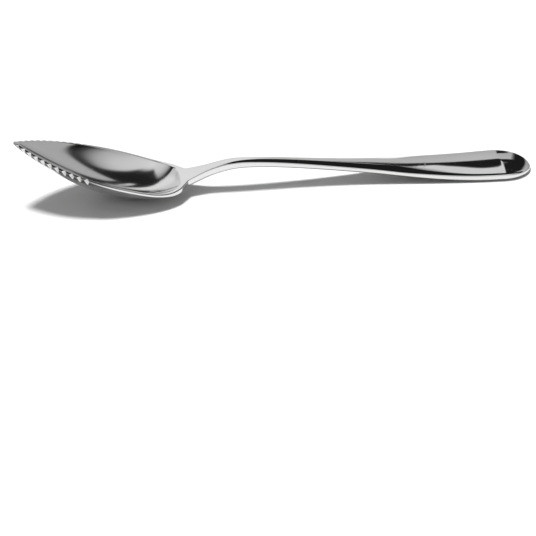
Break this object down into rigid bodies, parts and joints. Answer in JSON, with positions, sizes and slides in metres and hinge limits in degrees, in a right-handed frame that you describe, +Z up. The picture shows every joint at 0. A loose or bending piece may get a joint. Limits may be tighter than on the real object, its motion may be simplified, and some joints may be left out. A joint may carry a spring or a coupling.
{
  "type": "grapefruit spoon",
  "caption": "Polished stainless-steel grapefruit spoon: pointed leaf-shaped bowl with a toothed front rim for freeing fruit segments, arched neck, slim stem and flat teardrop handle end.",
  "frame": {"origin": "Middle of the spoon's length, below it, on the table it rests on.", "axes": "+X runs from the tip of the bowl to the end of the handle, +Y across the spoon, +Z up out of the open bowl."},
  "size_m": [0.16, 0.0282, 0.0197],
  "materials": {
    "steel": "mirror polished, with fine scratches"
  },
  "bodies": {
    "root": {"bowl": "steel", "handle": "steel"}
  },
  "joints": []
}
